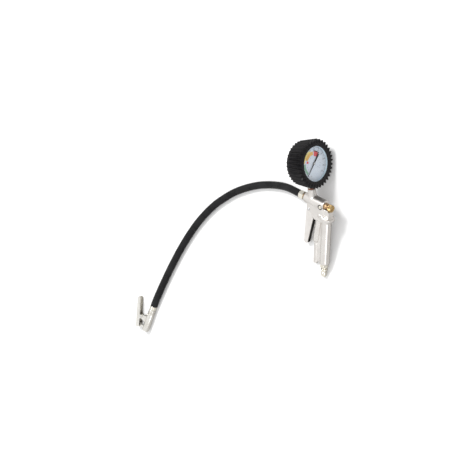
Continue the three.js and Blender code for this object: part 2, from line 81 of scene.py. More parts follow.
turns = [math.radians(a) for a in layout["gunTurnDeg"]]
gunFrame = (shift(layout["gunPlace"]) @ Matrix.Rotation(turns[0], 4, "X")
            @ Matrix.Rotation(turns[1], 4, "Y") @ Matrix.Rotation(turns[2], 4, "Z"))
droop = math.radians(layout["barrelDroopDeg"])
tilt = math.radians(layout["gaugeTiltDeg"])
gaugeOut = Vector((math.cos(tilt), 0, math.sin(tilt)))
stemDown = Vector((math.sin(tilt), 0, -math.cos(tilt)))
barrelLine = lineFrame((0, 0, 0), (math.cos(droop), 0, -math.sin(droop)))
barrelFrame = gunFrame @ barrelLine
gripLine = lineFrame((layout["gripX"], 0, 0), (0, 0, -1))
gripFrame = gunFrame @ gripLine
gaugeFrame = gunFrame @ basis(layout["gaugeCentre"], (0, 1, 0), -stemDown, gaugeOut)
stemFrame = gaugeFrame @ lineFrame((0, 0, layout["stemLevel"]), (0, -1, 0), (1, 0, 0))
chuckFrame = shift(layout["chuckPlace"]) @ Matrix.Rotation(-turn / 4, 4, "Z")
chuckLine = chuckFrame @ lineFrame((0, 0, 0), (1, 0, 0))

# camera, floor and light
studio = {
    "azimuthDeg": 128.75, "elevationDeg": 59.25, "rollDeg": -104.4, "distance": 2.735,
    "aim": (-0.12435, -0.11983, 0.006), "lens": 121.4,
    "floorColour": (0.93, 0.93, 0.93), "floorReflected": (0.5, 0.49, 0.48), "floorSize": 14,
    "keyPower": 34, "fillPower": 5, "lightFrom": (-0.35, -0.5, 0.75), "worldBright": 1.04, "worldDim": 0.36,
}


def makeCamera(s):
    a, e = math.radians(s["azimuthDeg"]), math.radians(s["elevationDeg"])
    back = Vector((math.sin(a) * math.cos(e), -math.cos(a) * math.cos(e), math.sin(e)))
    right = Vector((0, 0, 1)).cross(back).normalized()
    level = basis((0, 0, 0), right, back.cross(right), back)
    data = bpy.data.cameras.new("studioCamera")
    data.lens = s["lens"]
    data.clip_start, data.clip_end = 0.1, 40
    camera = bpy.data.objects.new("studioCamera", data)
    bpy.context.scene.collection.objects.link(camera)
    camera.matrix_world = (shift(Vector(s["aim"]) + back * s["distance"]) @ level
                           @ Matrix.Rotation(math.radians(s["rollDeg"]), 4, "Z"))
    bpy.context.scene.camera = camera


def areaLight(name, place, aim, size, power):
    data = bpy.data.lights.new(name, "AREA")
    data.shape = "DISK"
    data.size = size
    data.energy = power
    light = bpy.data.objects.new(name, data)
    bpy.context.scene.collection.objects.link(light)
    light.location = place
    light.rotation_euler = (Vector(aim) - Vector(place)).to_track_quat("-Z", "Y").to_euler()


def makeStudio(s):
    areaLight("keyLight", (-0.9, 0.9, 1.7), (-0.05, -0.05, 0.03), 0.7, s["keyPower"])
    areaLight("fillLight", (1.5, -0.6, 1.2), (-0.05, -0.1, 0.03), 0.9, s["fillPower"])
    world = bpy.data.worlds.new("studioWorld")
    bpy.context.scene.world = world
    world.use_nodes = True
    nodes, links = world.node_tree.nodes, world.node_tree.links
    # the light falls off from the bright side of the room to the dim side
    coords = nodes.new("ShaderNodeTexCoord")
    facing = nodes.new("ShaderNodeVectorMath")
    facing.operation = "DOT_PRODUCT"
    facing.inputs[1].default_value = Vector(s["lightFrom"]).normalized()
    ramp = nodes.new("ShaderNodeMapRange")
    ramp.interpolation_type = "SMOOTHSTEP"
    ramp.inputs["From Min"].default_value = -0.6
    ramp.inputs["From Max"].default_value = 0.75
    ramp.inputs["To Min"].default_value = s["worldDim"]
    ramp.inputs["To Max"].default_value = s["worldBright"]
    links.new(coords.outputs["Generated"], facing.inputs[0])
    links.new(facing.outputs["Value"], ramp.inputs["Value"])
    links.new(ramp.outputs["Result"], nodes["Background"].inputs["Strength"])
    nodes["Background"].inputs["Color"].default_value = (1, 1, 1, 1)
    bpy.context.scene.view_settings.view_transform = "Standard"
    size = s["floorSize"] / 2
    mesh = bpy.data.meshes.new("floor")
    corners = [(-size, -size, 0), (size, -size, 0), (size, size, 0), (-size, size, 0)]
    mesh.from_pydata(corners, [], [(0, 1, 2, 3)])
    floor = bpy.data.objects.new("floor", mesh)
    bpy.context.scene.collection.objects.link(floor)
    material = bpy.data.materials.new("floorPaper")
    material.use_nodes = True
    shader = material.node_tree.nodes["Principled BSDF"]
    # pale to the eye, darker to the tool: it reflects less light up into the metal than it shows
    tree = material.node_tree
    rays = tree.nodes.new("ShaderNodeLightPath")
    blend = tree.nodes.new("ShaderNodeMix")
    blend.data_type = "RGBA"
    blend.inputs["A"].default_value = (*s["floorReflected"], 1)
    blend.inputs["B"].default_value = (*s["floorColour"], 1)
    tree.links.new(rays.outputs["Is Camera Ray"], blend.inputs["Factor"])
    tree.links.new(blend.outputs["Result"], shader.inputs["Base Color"])
    shader.inputs["Roughness"].default_value = 0.9
    shader.inputs["Specular IOR Level"].default_value = 0.1
    mesh.materials.append(material)


makeCamera(studio)
makeStudio(studio)
print("camera, floor and light made")


# A node group with named sockets. Each entry of inputs is (name, kind, value).
def newGroup(name, inputs, outputs):
    tree = bpy.data.node_groups.new(name, "ShaderNodeTree")
    for label, kind, value in inputs:
        socket = tree.interface.new_socket(label, in_out="INPUT", socket_type="NodeSocket" + kind)
        socket.default_value = value
    for label, kind in outputs:
        tree.interface.new_socket(label, in_out="OUTPUT", socket_type="NodeSocket" + kind)
    source = tree.nodes.new("NodeGroupInput")
    sink = tree.nodes.new("NodeGroupOutput")
    return tree, source.outputs, sink.inputs


def addNode(tree, kind, settings=None, **inputs):
    node = tree.nodes.new("ShaderNode" + kind)
    for key, value in (settings or {}).items():
        setattr(node, key, value)
    for key, value in inputs.items():
        socket = node.inputs[int(key[1:])] if key[0] == "n" and key[1:].isdigit() else node.inputs[key]
        if isinstance(value, bpy.types.NodeSocket):
            tree.links.new(value, socket)
        else:
            socket.default_value = value
    return node


def mathNode(tree, operation, first, second=0.0):
    return addNode(tree, "Math", {"operation": operation}, n0=first, n1=second).outputs[0]


# Surface grain: fine noise for the height, and a slow cloud that moves colour and gloss by a little.
def makeGrainGroup():
    tree, take, give = newGroup("surfaceGrain", [
        ("Fine", "Float", 1400.0), ("Cloud", "Float", 60.0), ("Depth", "Float", 0.5),
    ], [("Height", "Float"), ("Cloud", "Float")])
    place = addNode(tree, "TexCoord").outputs["Object"]
    fine = addNode(tree, "TexNoise", None, Vector=place, Scale=take["Fine"], Detail=3.0, Roughness=0.6)
    slow = addNode(tree, "TexNoise", None, Vector=place, Scale=take["Cloud"], Detail=4.0, Roughness=0.55)
    tree.links.new(mathNode(tree, "MULTIPLY", fine.outputs[0], take["Depth"]), give["Height"])
    tree.links.new(slow.outputs[0], give["Cloud"])
    return tree


# Worn edges: where the surface bends outwards, broken up by noise.
def makeWearGroup():
    tree, take, give = newGroup("edgeWear", [
        ("Start", "Float", 0.52), ("End", "Float", 0.6), ("Break up", "Float", 500.0),
    ], [("Mask", "Float")])
    place = addNode(tree, "TexCoord").outputs["Object"]
    bend = addNode(tree, "NewGeometry").outputs["Pointiness"]
    noise = addNode(tree, "TexNoise", None, Vector=place, Scale=take["Break up"], Detail=3.0)
    edge = addNode(tree, "MapRange", None, Value=bend)
    tree.links.new(take["Start"], edge.inputs["From Min"])
    tree.links.new(take["End"], edge.inputs["From Max"])
    tree.links.new(mathNode(tree, "MULTIPLY", edge.outputs["Result"], noise.outputs[0]), give["Mask"])
    return tree


# Dust and handling marks: thin where the surface faces up, in soft patches.
def makeDustGroup():
    tree, take, give = newGroup("dustVeil", [
        ("Amount", "Float", 0.3), ("Patch", "Float", 45.0),
    ], [("Mask", "Float")])
    place = addNode(tree, "TexCoord").outputs["Object"]
    facing = addNode(tree, "SeparateXYZ", None, Vector=addNode(tree, "NewGeometry").outputs["Normal"])
    patch = addNode(tree, "TexNoise", None, Vector=place, Scale=take["Patch"], Detail=5.0)
    up = addNode(tree, "MapRange", None, Value=facing.outputs["Z"])
    up.inputs["From Min"].default_value = 0.1
    cover = mathNode(tree, "MULTIPLY", up.outputs["Result"], patch.outputs[0])
    tree.links.new(mathNode(tree, "MULTIPLY", cover, take["Amount"]), give["Mask"])
    return tree


grainGroup = makeGrainGroup()
wearGroup = makeWearGroup()
dustGroup = makeDustGroup()


def placeGroup(tree, group, **values):
    node = tree.nodes.new("ShaderNodeGroup")
    node.node_tree = group
    for key, value in values.items():
        node.inputs[key.replace("_", " ")].default_value = value
    return node.outputs


def mixColour(tree, factor, first, second):
    node = tree.nodes.new("ShaderNodeMix")
    node.data_type = "RGBA"
    for socket, value in zip((node.inputs[0], node.inputs[6], node.inputs[7]), (factor, first, second)):
        if isinstance(value, bpy.types.NodeSocket):
            tree.links.new(value, socket)
        else:
            socket.default_value = value
    return node.outputs[2]


reliefHeight = 0.0002


# Every finish is one set of these values: two base colours clouded together, wear, dust, gloss and bump.
def makeFinish(name, colour, second, metallic=0.0, roughness=(0.35, 0.5), fine=1400.0, cloud=60.0, depth=0.5,
               bump=0.1, wear=None, wearAmount=0.5, wearSpan=(0.52, 0.6), dust=0.0, shine=0.5):
    material = bpy.data.materials.new(name)
    material.use_nodes = True
    tree = material.node_tree
    shader = tree.nodes["Principled BSDF"]
    shader.inputs["Metallic"].default_value = metallic
    shader.inputs["Specular IOR Level"].default_value = shine
    grain = placeGroup(tree, grainGroup, Fine=fine, Cloud=cloud, Depth=depth)
    cloudMask = addNode(tree, "MapRange", None, Value=grain["Cloud"])
    cloudMask.inputs["From Min"].default_value = 0.35
    cloudMask.inputs["From Max"].default_value = 0.65
    base = mixColour(tree, cloudMask.outputs[0], (*colour, 1), (*second, 1))
    rough = addNode(tree, "MapRange", None, Value=grain["Cloud"])
    rough.inputs["From Min"].default_value = 0.3
    rough.inputs["From Max"].default_value = 0.7
    rough.inputs["To Min"].default_value = roughness[0]
    rough.inputs["To Max"].default_value = roughness[1]
    if wear:
        mask = placeGroup(tree, wearGroup, Start=wearSpan[0], End=wearSpan[1])["Mask"]
        base = mixColour(tree, mathNode(tree, "MULTIPLY", mask, wearAmount), base, (*wear, 1))
    if dust:
        base = mixColour(tree, placeGroup(tree, dustGroup, Amount=dust)["Mask"], base, (0.5, 0.48, 0.45, 1))
    tree.links.new(base, shader.inputs["Base Color"])
    tree.links.new(rough.outputs[0], shader.inputs["Roughness"])
    relief = addNode(tree, "Bump", None, Height=grain["Height"], Strength=bump, Distance=reliefHeight)
    tree.links.new(relief.outputs[0], shader.inputs["Normal"])
    return material


# Clear glass that still lets the lamps reach the dial.
def makeLensGlass():
    material = bpy.data.materials.new("lensGlass")
    material.use_nodes = True
    tree = material.node_tree
    shader = tree.nodes["Principled BSDF"]
    shader.inputs["Base Color"].default_value = (0.97, 0.985, 0.99, 1)
    shader.inputs["Transmission Weight"].default_value = 1.0
    shader.inputs["IOR"].default_value = 1.25
    smear = placeGroup(tree, grainGroup, Fine=900.0, Cloud=90.0, Depth=0.2)["Cloud"]
    gloss = addNode(tree, "MapRange", None, Value=smear)
    gloss.inputs["To Min"].default_value = 0.0
    gloss.inputs["To Max"].default_value = 0.03
    tree.links.new(gloss.outputs[0], shader.inputs["Roughness"])
    clear = tree.nodes.new("ShaderNodeBsdfTransparent")
    rays = tree.nodes.new("ShaderNodeLightPath")
    blend = tree.nodes.new("ShaderNodeMixShader")
    tree.links.new(mathNode(tree, "MAXIMUM", rays.outputs["Is Shadow Ray"], rays.outputs["Is Diffuse Ray"]),
                   blend.inputs[0])
    tree.links.new(shader.outputs[0], blend.inputs[1])
    tree.links.new(clear.outputs[0], blend.inputs[2])
    tree.links.new(blend.outputs[0], tree.nodes["Material Output"].inputs["Surface"])
    return material


castMetal = makeFinish("castMetal", (0.76, 0.735, 0.705), (0.67, 0.64, 0.61), 0.92, (0.24, 0.36), 1500, 55,
                       0.6, 0.16, (0.93, 0.92, 0.9), 0.6, dust=0.12)
triggerMetal = makeFinish("triggerMetal", (0.82, 0.795, 0.765), (0.74, 0.71, 0.68), 0.88, (0.26, 0.38), 1500, 70,
                          0.6, 0.14, (0.95, 0.94, 0.92), 0.6, dust=0.1)
knobBrass = makeFinish("knobBrass", (0.62, 0.45, 0.21), (0.42, 0.28, 0.12), 1.0, (0.2, 0.34), 1800, 120,
                       0.4, 0.08, (0.97, 0.82, 0.5), 0.8, dust=0.1)
copperBrass = makeFinish("copperBrass", (0.62, 0.43, 0.25), (0.46, 0.29, 0.15), 1.0, (0.22, 0.36), 1800, 110,
                         0.4, 0.08, (0.95, 0.72, 0.45), 0.7)
plainBrass = makeFinish("plainBrass", (0.80, 0.61, 0.30), (0.70, 0.50, 0.22), 1.0, (0.25, 0.4), 1800, 110,
                        0.4, 0.08, (0.95, 0.85, 0.55), 0.5)
nickelPlate = makeFinish("nickelPlate", (0.84, 0.81, 0.72), (0.76, 0.72, 0.62), 1.0, (0.14, 0.28), 1700, 90,
                         0.4, 0.07, (0.96, 0.94, 0.88), 0.5, dust=0.08)
chuckPlate = makeFinish("chuckPlate", (0.80, 0.785, 0.745), (0.70, 0.68, 0.63), 1.0, (0.18, 0.32), 1700, 90,
                        0.4, 0.08, (0.95, 0.94, 0.9), 0.6, dust=0.1)
brightSteel = makeFinish("brightSteel", (0.72, 0.72, 0.72), (0.6, 0.6, 0.61), 1.0, (0.16, 0.3), 1700, 100,
                         0.4, 0.06, (0.9, 0.9, 0.9), 0.5)
caseSteel = makeFinish("caseSteel", (0.03, 0.03, 0.032), (0.045, 0.045, 0.048), 0.3, (0.3, 0.45), 1200, 70,
                       0.4, 0.08, (0.2, 0.2, 0.2), 0.6)
bootRubber = makeFinish("bootRubber", (0.006, 0.006, 0.007), (0.011, 0.010, 0.011), 0.0, (0.3, 0.45), 1300, 80,
                        0.7, 0.22, (0.035, 0.032, 0.034), 0.7, dust=0.015, shine=0.14)
hoseRubber = makeFinish("hoseRubber", (0.005, 0.005, 0.006), (0.010, 0.010, 0.011), 0.0, (0.22, 0.34), 900, 45,
                        0.5, 0.12, dust=0.01, shine=0.16)
sealRubber = makeFinish("sealRubber", (0.02, 0.02, 0.02), (0.03, 0.03, 0.03), 0.0, (0.55, 0.7), 1200, 90, bump=0.15)
dialEnamel = makeFinish("dialEnamel", (0.80, 0.86, 0.94), (0.72, 0.80, 0.92), 0.0, (0.3, 0.4), 2500, 40,
                        0.3, 0.03)
printBlack = makeFinish("printBlack", (0.008, 0.008, 0.01), (0.015, 0.015, 0.018), 0.0, (0.35, 0.45), 2000, 90,
                        0.3, 0.03, shine=0.25)
# painted shade: a near-black copy of the cast metal, laid inside the trigger's channel in place of its shade
paintedShadeCast = makeFinish("paintedShadeCast", (0.05, 0.048, 0.045), (0.08, 0.076, 0.07), 0.3, (0.5, 0.65), 1300, 70, 0.5, 0.2,
                        shine=0.2)
rimEnamel = makeFinish("rimEnamel", (0.70, 0.82, 0.88), (0.62, 0.76, 0.84), 0.0, (0.3, 0.42), 1800, 60, 0.3, 0.03)
printGrey = makeFinish("printGrey", (0.17, 0.19, 0.24), (0.24, 0.26, 0.31), 0.0, (0.35, 0.45), 2000, 90, 0.3, 0.03)
printGreen = makeFinish("printGreen", (0.26, 0.50, 0.36), (0.34, 0.58, 0.44), 0.0, (0.35, 0.45), 2000, 60, 0.3, 0.03)
printYellow = makeFinish("printYellow", (0.90, 0.72, 0.16), (0.95, 0.80, 0.30), 0.0, (0.35, 0.45), 2000, 60,
                         0.3, 0.03)
printOrange = makeFinish("printOrange", (0.80, 0.45, 0.10), (0.88, 0.55, 0.16), 0.0, (0.35, 0.45), 2000, 60,
                         0.3, 0.03)
printRed = makeFinish("printRed", (0.78, 0.06, 0.08), (0.85, 0.12, 0.12), 0.0, (0.35, 0.45), 2000, 60, 0.3, 0.03)
fibreRed = makeFinish("fibreRed", (0.30, 0.10, 0.05), (0.38, 0.14, 0.07), 0.0, (0.6, 0.75), 900, 90, bump=0.2)
whiteNylon = makeFinish("whiteNylon", (0.8, 0.79, 0.75), (0.74, 0.73, 0.7), 0.0, (0.45, 0.6), 900, 90, bump=0.1)
lensGlass = makeLensGlass()
print("finishes made:", len(bpy.data.materials))

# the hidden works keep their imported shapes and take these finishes
slotFinish = {
    "cast_aluminium": castMetal, "brass": plainBrass, "nickel": nickelPlate, "steel": brightSteel,
    "case_steel": caseSteel, "black_paint": printBlack, "dial_white": dialEnamel, "boot_rubber": bootRubber,
    "hose_rubber": hoseRubber, "seal_rubber": sealRubber, "nylon": whiteNylon, "fibre": fibreRed,
    "lens": lensGlass,
}
for entry in frame["record"]["subparts"]:
    node = frame["nodes"][entry["node"]]
    for slot in node.material_slots:
        slot.material = slotFinish[entry["material_slot"]]
    if not node.material_slots:
        node.data.materials.append(slotFinish[entry["material_slot"]])


# Puts points (rows, columns, 3) into a mesh in metres, with quads between neighbours; wrap joins the last
# column to the first, and wrapRows the last row to the first.
def gridMesh(name, points, place, wrap=True, wrapRows=False):
    rows, columns = points.shape[:2]
    flat = points.reshape(-1, 3)
    matrix = np.array(place)
    flat = (flat @ matrix[:3, :3].T + matrix[:3, 3]) * mm
    r = np.arange(rows if wrapRows else rows - 1)[:, None]
    c = np.arange(columns if wrap else columns - 1)[None, :]
    r2, c2 = (r + 1) % rows, (c + 1) % columns
    quads = np.stack([r * columns + c, r * columns + c2, r2 * columns + c2, r2 * columns + c], -1)
    quads = quads.reshape(-1, 4)
    mesh = bpy.data.meshes.new(name)
    mesh.vertices.add(len(flat))
    mesh.vertices.foreach_set("co", flat.astype(np.float32).ravel())
    mesh.loops.add(quads.size)
    mesh.loops.foreach_set("vertex_index", quads.astype(np.int32).ravel())
    mesh.polygons.add(len(quads))
    mesh.polygons.foreach_set("loop_start", np.arange(0, quads.size, 4, dtype=np.int32))
    mesh.update(calc_edges=True)
    mesh.validate()
    shape = bpy.data.objects.new(name, mesh)
    bpy.context.scene.collection.objects.link(shape)
    return shape


# Merges doubled points, drops empty faces, points every face outwards and keeps sharp only what is sharp.
def tidy(shape, sharpDeg=40, distance=2e-6):
    work = bmesh.new()
    work.from_mesh(shape.data)
    bmesh.ops.remove_doubles(work, verts=work.verts, dist=distance)
    bmesh.ops.dissolve_degenerate(work, edges=work.edges, dist=distance / 4)
    bmesh.ops.recalc_face_normals(work, faces=work.faces)
    work.to_mesh(shape.data)
    work.free()
    shape.data.shade_smooth()
    shape.data.set_sharp_from_angle(angle=math.radians(sharpDeg))
    return shape


def finish(shape, material, body, *nodes, slot=None):
    shape.data.materials.clear()
    shape.data.materials.append(material)
    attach(shape, body)
    if nodes:
        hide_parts(*nodes)
    return shape


# A corner list with each inner corner rounded: corners are (along, radius, round), and each round is an arc
# of that radius put in as a quadratic curve that leaves and meets the two sides at equal distances.
def rounded(corners, steps=5):
    path = []
    count = len(corners)
    for i, corner in enumerate(corners):
        here = np.array(corner[:2], float)
        soft = corner[2] if len(corner) > 2 else 0
        if not soft or i in (0, count - 1):
            path.append(here)
            continue
        before = np.array(corners[i - 1][:2], float) - here
        after = np.array(corners[i + 1][:2], float) - here
        reach = min(soft, 0.49 * np.hypot(*before), 0.49 * np.hypot(*after))
        start = here + before / np.hypot(*before) * reach
        end = here + after / np.hypot(*after) * reach
        t = np.linspace(0, 1, steps + 1)[:, None]
        path.extend((1 - t) ** 2 * start + 2 * t * (1 - t) * here + t ** 2 * end)
    return np.array(path)


# A profile turned about its frame's Z: x, y = radius(along) * shape(along, angle) * (cos, sin), z = along.
def turnedShape(name, corners, place, segments=72, shape=None, steps=5):
    profile = rounded(corners, steps)
    angle = np.linspace(0, turn, segments, endpoint=False)[None, :]
    along, radius = profile[:, :1], profile[:, 1:2]
    reach = radius * np.ones_like(angle)
    if shape is not None:
        reach = shape(along, radius, angle)
    points = np.stack([reach * np.cos(angle), reach * np.sin(angle), along + 0 * angle], -1)
    closed = np.allclose(profile[0], profile[-1])
    if closed:
        points = points[:-1]
    return tidy(gridMesh(name, points, place, wrap=True, wrapRows=closed))


# A flat outline given thickness: the outline stands at both levels, quads join the two rings, and one face
# closes each end.
def plateShape(name, outline, low, high, place, plane="xz"):
    edge = np.array(outline, float)
    count = len(edge)
    level = np.repeat([[float(low)], [float(high)]], count, 0)
    both = np.concatenate([edge, edge])
    columns = [both[:, :1], level, both[:, 1:]] if plane == "xz" else [both[:, :1], both[:, 1:], level]
    matrix = np.array(place)
    points = (np.hstack(columns) @ matrix[:3, :3].T + matrix[:3, 3]) * mm
    index = np.arange(count)
    after = (index + 1) % count
    sides = np.stack([index, after, after + count, index + count], -1).tolist()
    mesh = bpy.data.meshes.new(name)
    mesh.from_pydata(points.tolist(), [], sides + [index[::-1].tolist(), (index + count).tolist()])
    plate = bpy.data.objects.new(name, mesh)
    bpy.context.scene.collection.objects.link(plate)
    return tidy(plate)


def applyModifiers(shape):
    depsgraph = bpy.context.evaluated_depsgraph_get()
    mesh = bpy.data.meshes.new_from_object(shape.evaluated_get(depsgraph))
    old = shape.data
    shape.modifiers.clear()
    shape.data = mesh
    bpy.data.meshes.remove(old)
    return shape


def joined(name, shapes):
    work = bmesh.new()
    for shape in shapes:
        work.from_mesh(shape.data)
        bpy.data.objects.remove(shape)
    mesh = bpy.data.meshes.new(name)
    work.to_mesh(mesh)
    work.free()
    result = bpy.data.objects.new(name, mesh)
    bpy.context.scene.collection.objects.link(result)
    return result


# Solids run together as one casting: fused on a fine grid, its inner corners eased by smoothing, then the
# machined holes cut sharp.
def casting(name, solids, cutters, voxel, passes):
    shape = joined(name, solids)
    remesh = shape.modifiers.new("fuse", "REMESH")
    remesh.mode = "VOXEL"
    remesh.voxel_size = voxel * mm * 1
    smooth = shape.modifiers.new("ease", "SMOOTH")
    smooth.factor = 0.5
    smooth.iterations = passes
    applyModifiers(shape)
    for cutter in cutters:
        boolean = shape.modifiers.new("machine", "BOOLEAN")
        boolean.operation = "DIFFERENCE"
        boolean.solver = "EXACT"
        boolean.object = cutter
        applyModifiers(shape)
        bpy.data.objects.remove(cutter)
    return tidy(shape, 38)


def offsetFrame(place, along, sideways=(0, 1, 0)):
    return gunFrame @ lineFrame(place, along, sideways)


# a plain round bar or drill between two distances along a line
def bar(name, place, start, end, radius, segments=64):
    return turnedShape(name, [(start, 0), (start, radius), (end, radius), (end, 0)], place, segments)


# a bar with a dome on its far end
def domedBar(name, place, length, radius, segments=64):
    return turnedShape(name, [(0, 0), (0, radius), (length + radius, radius, radius), (length + radius, 0)],
                       place, segments, steps=10)


def arc(centre, radius, startDeg, endDeg, count=14):
    a = np.radians(np.linspace(startDeg, endDeg, count))
    return [(centre[0] + radius * math.cos(t), centre[1] + radius * math.sin(t)) for t in a]


gun = {
    "barrel": [(-15.5, 0), (-15.5, 7.8, 0.8), (-14.3, 8.7, 0.6), (-10, 9.1, 3), (-4, 9.8, 3), (28.7, 9.8, 1),
               (29.5, 9, 0.5), (29.5, 0)],
    "boss": [(0, 0), (0, 6.3, 0.8), (0.9, 6.8, 0.6), (7, 6.9, 3), (12, 7.9, 3), (16, 9.2, 2), (19.5, 9.4), (19.5, 0)],
    "bossReach": 43.9, "pivot": (-1, -14), "cheek": (4.8, 8.6), "grip": 8.5, "gripEnd": 106,
    "voxel": 0.62, "easePasses": 7,
}


def makeGunCasting(g):
    px, pz = g["pivot"]
    bossFrame = stemFrame @ shift((0, 0, g["bossReach"]))
    solids = [
        turnedShape("barrel", g["barrel"], barrelFrame, 96),
        turnedShape("boss", g["boss"], bossFrame, 80),
        turnedShape("gripTube", [(18, 0), (18, g["grip"]), (g["gripEnd"], g["grip"], 1.4), (g["gripEnd"], 0)],
                    gripFrame, 96),
        domedBar("frontPad", offsetFrame((18.5, 0, -22), (-5.7, 0, -42.5)), 42.9, 6.4),
        bar("frontBead", offsetFrame((12.5, 0, 0), (0, 0, -1)), 56, 110.5, 4.1),
        plateShape("web", [(16, -24), (32, -24), (32, -104.5), (23.6, -105.4), (12.5, -109), (12.5, -60)], -1.7, 1.7,
                   gunFrame),
        plateShape("housing", [(7, -3), (22, -3), (31, -4.6), (31, -29), (12, -29), (7, -25)], -8.8, 8.8, gunFrame),
        plateShape("rearHousing", [(29, -4.6), (38.5, -6), (41, -9), (41, -22), (39, -29), (29, -29)], -6.4, 6.4,
                   gunFrame),
    ]
    cheek = ([(9, -4), (9, -22), (px + 2, pz - 4.2)] + arc((px, pz), 4.6, -65, -180) + [(px - 4.6, -4)])
    near, far = g["cheek"]
    solids.append(plateShape("nearCheek", cheek, -far, -near, gunFrame))
    solids.append(plateShape("farCheek", cheek, near, far, gunFrame))
    # the thumb rest behind the grip: straight sides that close in a broad round end
    t = np.linspace(-1, 1, 41)
    tail = np.stack([2 + 14 * np.sqrt(np.clip(1 - np.abs(t) ** 2.6, 0, 1)), 12 * t], -1)
    plan = [(-9.5, 9.8), (-9.5, -9.8)] + [tuple(p) for p in tail]
    tangFrame = gunFrame @ shift((30, 0, -20.6)) @ Matrix.Rotation(math.radians(12), 4, "Y")
    solids.append(plateShape("thumbRest", plan, -2.3, 2.3, tangFrame, "xy"))
    valveLine = offsetFrame((0, 0, -22), (1, 0, 0))
    screwLine = offsetFrame((24, 0, -3), (0, 1, 0), (1, 0, 0))
    pivotLine = offsetFrame((px, 0, pz), (0, 1, 0), (1, 0, 0))
    cutters = [
        bar("noseBore", barrelFrame, -17, -6.9, 5.2), bar("rearBore", barrelFrame, 14, 31, 5.2),
        bar("knobRoom", barrelFrame, 29.5, 60, 6.8), bar("gaugeBore", bossFrame, -2, 10, 5.2),
        bar("plugBore", gripFrame, 93, 108, 6.2), bar("valveBore", valveLine, 2, 30, 4.2),
        bar("pivotBore", pivotLine, -10, 10, 1.65, 40), bar("screwSeat", screwLine, -14, -7.2, 4.6),
        bar("screwBore", screwLine, -9, -6, 2.1, 40),
    ]
    return casting("gunCasting", solids, cutters, g["voxel"], g["easePasses"])


finish(makeGunCasting(gun), castMetal, "gun", "gun_body", slot="cast_aluminium")
print("gun casting made")

trigger = {"half": 4.5, "wall": 1.5, "pivot": (-1, -14), "voxel": 0.45, "easePasses": 5}


def makeTrigger(t):
    px, pz = t["pivot"]
    outline = ([(-9.9, -18.4), (px - 3.4, pz - 1.2)] + arc((px, pz), 3.6, 195, 0, 12)
               + [(3, -20), (3, -26), (6, -31), (3.4, -42), (-4.2, -76.5)] + arc((-7.8, -76.8), 3.6, -10, -90, 6)
               + arc((-9, -76.8), 3.6, -90, -175, 6) + [(-11.8, -60), (-10.8, -36)])
    solid = plateShape("triggerBlank", outline, -t["half"], t["half"], gunFrame)
    inner = t["half"] - t["wall"]
    hollow = plateShape("triggerHollow", [(-7.5, -29.5), (9, -29.5), (9, -77.2), (-10, -77.2)], -inner, inner,
                        gunFrame)
    pivotLine = offsetFrame((px, 0, pz), (0, 1, 0), (1, 0, 0))
    return casting("triggerCasting", [solid], [hollow, bar("triggerBore", pivotLine, -8, 8, 1.65, 40)],
                   t["voxel"], t["easePasses"])


# Paints shade into the channel: faces whose centre is between the walls, below its top, take a dark painted-shade
# finish.
def darkenChannel(shape, material, half, top):
    centres = np.empty(len(shape.data.polygons) * 3)
    shape.data.polygons.foreach_get("center", centres)
    back = np.array(gunFrame.inverted())
    place = centres.reshape(-1, 3) / mm @ back[:3, :3].T + back[:3, 3]
    inside = (np.abs(place[:, 1]) < half) & (place[:, 2] < top)
    shape.data.materials.append(material)
    shape.data.polygons.foreach_set("material_index", inside.astype(np.int32))
    return shape


triggerPiece = finish(makeTrigger(trigger), triggerMetal, "trigger_unit", "trigger", slot="cast_aluminium")
# painted shade on the channel's inner faces, so the hollow reads dark though the bright floor lights it
darkenChannel(triggerPiece, paintedShadeCast, trigger["half"] - trigger["wall"] + 0.12, -29.3)


# A hexagon held inside a turned profile: the reach is the smaller of the flat's distance and the profile.
def hexagon(flat):
    def reach(along, radius, angle):
        side = flat / np.cos((angle + turn / 12) % (turn / 6) - turn / 12)
        return np.minimum(side + 0 * along, radius + 0 * angle)
    return reach


# Diamond knurling: two sets of spiral grooves cross, and the deeper of the two cuts the profile.
# Radii up to smoothBore stay round, so that the knob's bore slides over the brass body.
smoothBore = 5.5


def knurled(count, pitch, depth, start, end):
    def reach(along, radius, angle):
        spiral = turn * along / pitch
        first = np.abs(np.sin((count * angle + spiral) / 2))
        second = np.abs(np.sin((count * angle - spiral) / 2))
        band = ((along > start) & (along < end)) * 1.0
        return radius - depth * band * (1 - np.minimum(first, second)) * (radius > smoothBore)
    return reach


def denseProfile(corners, pitch):
    out = [corners[0]]
    for a, b in zip(corners[:-1], corners[1:]):
        count = max(1, int(math.hypot(b[0] - a[0], b[1] - a[1]) / pitch)) if a[1] > 4 and b[1] > 4 else 1
        out += [tuple(a[i] + (b[i] - a[i]) * (n + 1) / count for i in (0, 1)) for n in range(count)]
    return out


nutFlat = 6.75
finish(turnedShape("hoseNut", [(-28.4, 4.3), (-28.4, 6.4, 0.3), (-27.2, 7.7, 0.4), (-19.7, 7.7, 0.4),
                               (-18.4, 6.4, 0.3), (-18.4, 4.3), (-28.4, 4.3)], barrelFrame, 144,
                   hexagon(nutFlat)), nickelPlate, "gun", "hose_nut", slot="nickel")
finish(turnedShape("hoseNipple", [(-28, 2.2), (-28, 4), (-18, 4), (-16.2, 4, 0.4), (-15.7, 5, 0.2), (-7.5, 5),
                                  (-7.5, 2.2), (-28, 2.2)], barrelFrame, 72),
       copperBrass, "gun", "hose_nipple", slot="brass")
bleedCorners = [(16, 1.7), (16, 5), (29.8, 5), (29.8, 6, 0.4), (31.6, 6, 0.3), (31.9, 5.6, 0.2),
                (33.6, 5.6, 0.4), (33.8, 4.7), (38.5, 4.7), (38.5, 1.7), (16, 1.7)]
finish(turnedShape("bleedBody", bleedCorners, barrelFrame, 80),
       copperBrass, "gun", "bleed_body", slot="brass")
knobCorners = denseProfile([(36.6, 5.1), (36.6, 5.7), (37.2, 6.3), (42.7, 6.3), (43.6, 5.4), (43.6, 4.05)], 0.22)
